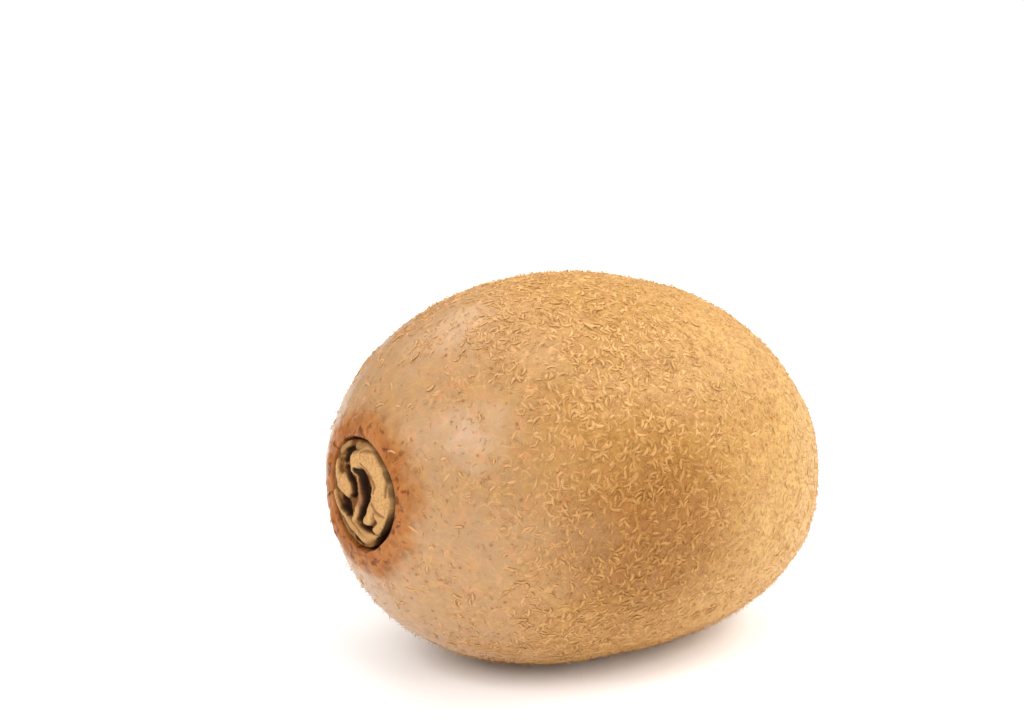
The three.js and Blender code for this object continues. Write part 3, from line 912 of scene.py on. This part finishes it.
class KiwiSkinSettings(bpy.types.PropertyGroup):
    """Colours and finish of the skin."""

    ring_step: size_setting("Ring step", "Spacing of the skin's rings", 0.47 * MM)
    sectors: IntProperty(name="Sectors", description="Points round the skin", default=360, min=24, max=400)
    rosy: colour_setting("Stem end", "Skin near the stem end", linear(164, 124, 80))
    golden: colour_setting("Body", "Skin of the body", linear(184, 137, 66))
    # Partly painted light: the blossom end is made lighter, as it is lit.
    pale: colour_setting("Blossom end", "Skin towards the blossom end", linear(222, 178, 102))
    olive: colour_setting("Olive patches", "Greener patches", linear(184, 136, 64))
    blush: colour_setting("Blush patches", "Pinker patches", linear(196, 130, 82))
    # Painted shade between the matted hairs.
    painted_gap_shade: colour_setting("Under the hairs", "Skin between matted hairs", linear(150, 92, 36))
    pore: colour_setting("Pores", "Small brown pores", linear(128, 76, 32))
    pore_strength: share_setting("Pore strength", "How dark the pores are", 0.6)
    # Painted shade: tint of the darker patch on the front.
    painted_shade_tint: colour_setting("Painted shade", "Tint of the deeper patch in front", (0.72, 0.59, 0.38))
    curl: colour_setting("Matted hairs", "Hairs grown flat", linear(228, 172, 104))
    halo: colour_setting("Halo", "Russet skin round the scar", linear(144, 84, 35))
    halo_pale: colour_setting("Pale halo", "Paler places in the halo", linear(165, 103, 50))
    halo_fleck: colour_setting("Halo flecks", "Brown flecks in the halo", linear(112, 58, 18))
    # Painted shade down in the groove round the scar.
    groove: colour_setting("Groove", "Skin down in the cup", linear(50, 24, 9))
    wax: share_setting("Wax", "Weight of the waxy coat", 0.95)
    waxy_roughness: share_setting("Waxy roughness", "Roughness at the stem end", 0.44)


class KiwiScarSettings(bpy.types.PropertyGroup):
    """Colours and fineness of the stem scar."""

    rings: IntProperty(name="Rings", description="Rings of the scar's face", default=90, min=12, max=200)
    sectors: IntProperty(name="Sectors", description="Points round the scar", default=256, min=24, max=400)
    ridge: colour_setting("Folds", "Tops of the folds", linear(194, 150, 98))
    olive: colour_setting("Olive patches", "Greener patches", linear(168, 126, 70))
    # Partly painted shade in the hollows between the folds.
    ground: colour_setting("Low ground", "Between the folds", linear(100, 62, 28))
    blush: colour_setting("Tongue", "Brown side of the inner tongue", linear(132, 80, 52))
    # Partly the tissue's dark brown, partly painted shade.
    cleft: colour_setting("Clefts", "Down in the clefts", linear(30, 12, 4))


class KiwiStyleSettings(bpy.types.PropertyGroup):
    """Colours of the dried styles."""

    root: colour_setting("Roots", "Foot of the styles", linear(58, 32, 22))
    tip: colour_setting("Tips", "Worn tips", linear(128, 84, 52))
    rust: colour_setting("Rust", "Rusty patches", linear(112, 58, 30))


class KiwiHairSettings(bpy.types.PropertyGroup):
    """Size, number and colours of the hairs."""

    curls: IntProperty(name="Matted curls", description="Thicker matted curls", default=13000, min=0, max=14000)
    curl_length: size_setting("Curl length", "Length of a curl", 1.6 * MM)
    curl_width: size_setting("Curl width", "Width of a curl", 0.55 * MM)
    fuzz: IntProperty(name="Fine hairs", description="Fine single hairs", default=20000, min=0, max=28000)
    fuzz_length: size_setting("Fine hair length", "Length of a fine hair", 0.9 * MM)
    fuzz_width: size_setting("Fine hair width", "Width of a fine hair", 0.08 * MM)
    pale: colour_setting("Pale", "Palest hairs", linear(222, 174, 108))
    warm: colour_setting("Warm", "Warmest hairs", linear(192, 143, 76))
    stem: colour_setting("Stem end", "Hairs near the stem end", linear(190, 142, 96))
    # Painted shade: tint of the darker patch on the front.
    painted_shade_tint: colour_setting("Painted shade", "Tint of the deeper patch in front", (0.72, 0.59, 0.38))
    root: colour_setting("Root", "Foot of the hairs", linear(178, 120, 58))


class KiwiStageSettings(bpy.types.PropertyGroup):
    """The floor, the lights and the camera's place."""

    floor: colour_setting("Floor", "Colour of the floor", (0.88,) * 3)
    ambient: FloatProperty(name="Ambient", description="Strength of the light all round", default=0.42, min=0)
    left: power_setting("Left", "Light from the upper left", 1.6)
    side: power_setting("Left side", "Broad light at the stem end", 0.7)
    right: power_setting("Right", "Light from the upper right", 1.6)
    far: power_setting("Right side", "Light at the blossom end", 0.6)
    top: power_setting("Top", "Light from above", 1.2)
    back: power_setting("Back", "Light from behind", 1.1)
    table: power_setting("Table", "Light on the floor alone", 3.6)
    distance: FloatProperty(
        name="Camera distance", description="From the fruit's middle", default=0.5, min=0.2, unit="LENGTH"
    )


# Each light's bearing and elevation from the fruit in degrees, and its width in metres. All are at one distance.
LIGHTS = {
    "left": ((-66, 38), 0.25),
    "side": ((-100, 32), 0.4),
    "right": ((60, 42), 0.3),
    "far": ((92, 30), 0.4),
    "top": ((90, 75), 0.5),
    "back": ((175, 52), 0.4),
}
LIGHT_DISTANCE = 0.55
TABLE_LIGHT = {"bearing": (5, 30), "distance": 0.7, "size": 0.5}
FLOOR = {"reach": 2.0, "depth": 0.04 * MM}
SQUARE = ((-1, -1), (1, -1), (1, 1), (-1, 1))
# The photograph's camera: angles in degrees, focal length in pixels at that distance, and the fruit's offset in mm.
CAMERA = {
    "azimuth": -34.12,
    "elevation": 17.0,
    "distance": 0.5,
    "focal_pixels": 3656.0,
    "frame_width": 1024,
    "sensor": 36.0,
    "right": 6.704,
    "up": -14.075,
}


# ---- Operators


class KIWI_OT_make_skin(bpy.types.Operator):
    """Builds the skin in place of the solid berry"""

    bl_idname = "kiwi.make_skin"
    bl_label = "Make the skin"

    def execute(self, context):
        look = context.scene.kiwi_skin
        station = skin_stations(look.ring_step / MM)[:, None]
        angle = np.linspace(0, 2 * np.pi, look.sectors, endpoint=False)[None, :]
        rings, facts = skin_places(station, angle)
        facts["hairy"] = hairiness(facts, rings)
        rings = rings + ring_normals(rings) * skin_relief(rings, facts)[..., None]
        first, last = (skin_places(pole, 0.0)[0] for pole in (0.0, np.pi))
        points, quads, triangles = closed_rings(first, rings, last)
        points = in_place(points)
        points[:, 2] = np.maximum(points[:, 2], 0)
        facts = {name: with_poles(values) for name, values in facts.items()}
        add_piece("kiwi_skin", points, quads, triangles, facts, skin_material(look), "skin", "fruit")
        return {"FINISHED"}


class KIWI_OT_make_stem_scar(bpy.types.Operator):
    """Builds the folded corky scar in place of the solid one"""

    bl_idname = "kiwi.make_stem_scar"
    bl_label = "Make the stem scar"

    def execute(self, context):
        look = context.scene.kiwi_scar
        rings, facts = scar_rings(look.rings, look.sectors)
        middle = rings[0].mean(0)
        bottom = (-STEM_HALF["length"] - SCAR["bottom"], 0, centre_height(-1))
        points, quads, triangles = closed_rings(middle, rings, bottom)
        facts = {name: with_poles(values) for name, values in facts.items()}
        add_piece(
            "kiwi_stem_scar", in_place(points), quads, triangles, facts, cork_material(look), "cork", "stem_scar"
        )
        return {"FINISHED"}


class KIWI_OT_make_styles(bpy.types.Operator):
    """Builds the dried styles and their knob in place of the solid tuft"""

    bl_idname = "kiwi.make_styles"
    bl_label = "Make the dried styles"

    def execute(self, context):
        look = context.scene.kiwi_styles
        knob = knob_rings(*KNOB_GRID)
        top = knob[0].mean(0)
        bottom = (BLOSSOM_HALF["length"] + KNOB["bottom"], 0, centre_height(1))
        points, quads, triangles = closed_rings(top, knob, bottom)
        reach = [np.zeros(len(points))]
        spine, tubes, share = style_tubes(*STYLE_GRID)
        surfaces = [(points, quads, triangles)]
        for start, tube, end, values in zip(spine[:, 0], tubes, spine[:, -1], share):
            surfaces.append(closed_rings(start, tube, end))
            reach.append(np.concatenate(((0.0,), np.repeat(values, tube.shape[1]), (1.0,))))
        offsets = np.cumsum([0] + [len(surface[0]) for surface in surfaces[:-1]])
        points = np.concatenate([surface[0] for surface in surfaces])
        quads = np.concatenate([surface[1] + offset for surface, offset in zip(surfaces, offsets)])
        triangles = np.concatenate([surface[2] + offset for surface, offset in zip(surfaces, offsets)])
        facts = {"reach": np.concatenate(reach)}
        add_piece(
            "kiwi_dried_styles",
            in_place(points),
            quads,
            triangles,
            facts,
            style_material(look),
            "dried_style",
            "style_tuft",
        )
        return {"FINISHED"}


class KIWI_OT_make_hairs(bpy.types.Operator):
    """Builds the short matted hairs, in four pieces round the fruit"""

    bl_idname = "kiwi.make_hairs"
    bl_label = "Make the hairs"

    def execute(self, context):
        look = context.scene.kiwi_hairs
        material = hair_material(look)
        sizes = {
            "curls": (look.curls, look.curl_length / MM, look.curl_width / MM),
            "fuzz": (look.fuzz, look.fuzz_length / MM, look.fuzz_width / MM),
        }
        made = {}
        for name, kind in HAIR_KINDS.items():
            strand, reach, normal, tone, along = grown_hairs(kind, *sizes[name])
            strand = in_place(strand.reshape(-1, 3)).reshape(strand.shape)
            clear = strand[:, :, 2].min(1) > FLOOR_CLEARANCE * MM
            bearing = np.degrees(np.arctan2(normal[:, 2], -normal[:, 1])) % 360
            for quarter, side in enumerate(HAIR_SIDES):
                chosen = clear & (bearing // 90 == quarter)
                group = (strand[chosen], reach[chosen], tone[chosen], along[chosen], kind["rows"])
                made.setdefault(side, []).append(group)
        for name, groups in made.items():
            points, quads, triangles, reach, tone, along, used = [], [], [], [], [], [], 0
            for strand, share, shade, place, rows in groups:
                sides, ends = strand_faces(len(strand), rows)
                quads.append(sides + used)
                triangles.append(ends + used)
                points.append(strand.reshape(-1, 3))
                reach.append(share.ravel())
                tone.append(np.repeat(shade, strand.shape[1]))
                along.append(np.repeat(place, strand.shape[1]))
                used += strand.shape[0] * strand.shape[1]
            facts = {"reach": reach, "tone": tone, "along": along}
            facts = {fact: np.concatenate(values) for fact, values in facts.items()}
            joined = (np.concatenate(points), np.concatenate(quads), np.concatenate(triangles))
            add_piece(f"kiwi_hairs_{name}", *joined, facts, material, "skin")
        return {"FINISHED"}


class KIWI_OT_make_stage(bpy.types.Operator):
    """Builds the plain floor, the soft lights and the camera"""

    bl_idname = "kiwi.make_stage"
    bl_label = "Make the stage"

    def execute(self, context):
        stage = context.scene.kiwi_stage
        floor_mesh = bpy.data.meshes.new("floor")
        corners = [(x * FLOOR["reach"], y * FLOOR["reach"], -FLOOR["depth"]) for x, y in SQUARE]
        floor_mesh.from_pydata(corners, [], [(0, 1, 2, 3)])
        sheet = NodeSheet("studio_floor")
        where = sheet.add("ShaderNodeTexCoord").outputs["Object"]
        grain = sheet.noise(where, 0.05, 2.0)
        pale = tuple(0.985 * c for c in stage.floor)
        colour = sheet.mixed(grain, tuple(stage.floor), pale)
        floor_mesh.materials.append(sheet.finish(colour, 0.9, sheet.bump(grain, 0.05, 0.1)))
        floor = bpy.data.objects.new("floor", floor_mesh)
        context.scene.collection.objects.link(floor)

        middle = Vector(PLACE * MM)
        for name, (bearing, size) in LIGHTS.items():
            power = getattr(stage, name)
            self.add_light(context, f"{name}_light", bearing, LIGHT_DISTANCE, size, power, middle)
        table_light = self.add_light(context, "table_light", **TABLE_LIGHT, power=stage.table, middle=middle)
        lit = bpy.data.collections.new("lit_by_table_light")
        lit.objects.link(floor)
        table_light.light_linking.receiver_collection = lit
        world = bpy.data.worlds.new("studio")
        world.use_nodes = True
        world.node_tree.nodes["Background"].inputs["Color"].default_value = (1, 1, 1, 1)
        world.node_tree.nodes["Background"].inputs["Strength"].default_value = stage.ambient
        context.scene.world = world
        context.scene.view_settings.view_transform = "Standard"
        self.add_camera(context, stage, middle)
        return {"FINISHED"}

    @staticmethod
    def direction(azimuth, elevation):
        """From the fruit towards a light or the camera. Azimuth 0 is in front, at -Y, and 90 is at +X."""
        a, e = math.radians(azimuth), math.radians(elevation)
        return Vector((math.sin(a) * math.cos(e), -math.cos(a) * math.cos(e), math.sin(e)))

    def add_light(self, context, name, bearing, distance, size, power, middle):
        """A soft square light that faces the fruit."""
        light = bpy.data.lights.new(name, "AREA")
        light.energy = power
        light.size = size
        lamp = bpy.data.objects.new(name, light)
        context.scene.collection.objects.link(lamp)
        lamp.location = middle + self.direction(*bearing) * distance
        lamp.rotation_euler = (middle - lamp.location).to_track_quat("-Z", "Y").to_euler()
        return lamp

    def add_camera(self, context, stage, middle):
        """The photograph's view: the offsets move the fruit in the frame without turning the camera."""
        back = self.direction(CAMERA["azimuth"], CAMERA["elevation"])
        turn = math.radians(CAMERA["azimuth"])
        right = Vector((math.cos(turn), math.sin(turn), 0))
        up = back.cross(right)
        lens = bpy.data.cameras.new("camera")
        lens.sensor_width = CAMERA["sensor"]
        fill = CAMERA["focal_pixels"] / CAMERA["frame_width"]
        lens.lens = fill * CAMERA["sensor"] * (stage.distance / CAMERA["distance"])
        lens.clip_start = 0.01
        camera = bpy.data.objects.new("camera", lens)
        context.scene.collection.objects.link(camera)
        aside = right * CAMERA["right"] * MM + up * CAMERA["up"] * MM
        camera.location = middle + back * stage.distance - aside
        camera.rotation_euler = Matrix((right, up, back)).transposed().to_euler()
        context.scene.camera = camera


class KIWI_PT_panel(bpy.types.Panel):
    """Lists the steps that build the fruit, and what may be changed"""

    bl_idname = "KIWI_PT_panel"
    bl_label = "Golden kiwi fruit"
    bl_space_type = "VIEW_3D"
    bl_region_type = "UI"
    bl_category = "Kiwi fruit"

    def draw(self, context):
        for group, operator in STEPS:
            box = self.layout.box()
            box.operator(operator)
            settings = getattr(context.scene, group)
            for name in settings.__annotations__:
                box.prop(settings, name)


STEPS = (
    ("kiwi_skin", "kiwi.make_skin"),
    ("kiwi_scar", "kiwi.make_stem_scar"),
    ("kiwi_styles", "kiwi.make_styles"),
    ("kiwi_hairs", "kiwi.make_hairs"),
    ("kiwi_stage", "kiwi.make_stage"),
)
GROUPS = {
    "kiwi_skin": KiwiSkinSettings,
    "kiwi_scar": KiwiScarSettings,
    "kiwi_styles": KiwiStyleSettings,
    "kiwi_hairs": KiwiHairSettings,
    "kiwi_stage": KiwiStageSettings,
}
CLASSES = (
    *GROUPS.values(),
    KIWI_OT_make_skin,
    KIWI_OT_make_stem_scar,
    KIWI_OT_make_styles,
    KIWI_OT_make_hairs,
    KIWI_OT_make_stage,
    KIWI_PT_panel,
)


def register():
    for item in CLASSES:
        bpy.utils.register_class(item)
    for name, group in GROUPS.items():
        setattr(bpy.types.Scene, name, PointerProperty(type=group))


def unregister():
    for name in GROUPS:
        delattr(bpy.types.Scene, name)
    for item in reversed(CLASSES):
        bpy.utils.unregister_class(item)


def main():
    register()
    bpy.ops.kiwi.make_skin()
    bpy.ops.kiwi.make_stem_scar()
    bpy.ops.kiwi.make_styles()
    bpy.ops.kiwi.make_hairs()
    bpy.ops.kiwi.make_stage()


if __name__ == "__main__":
    main()
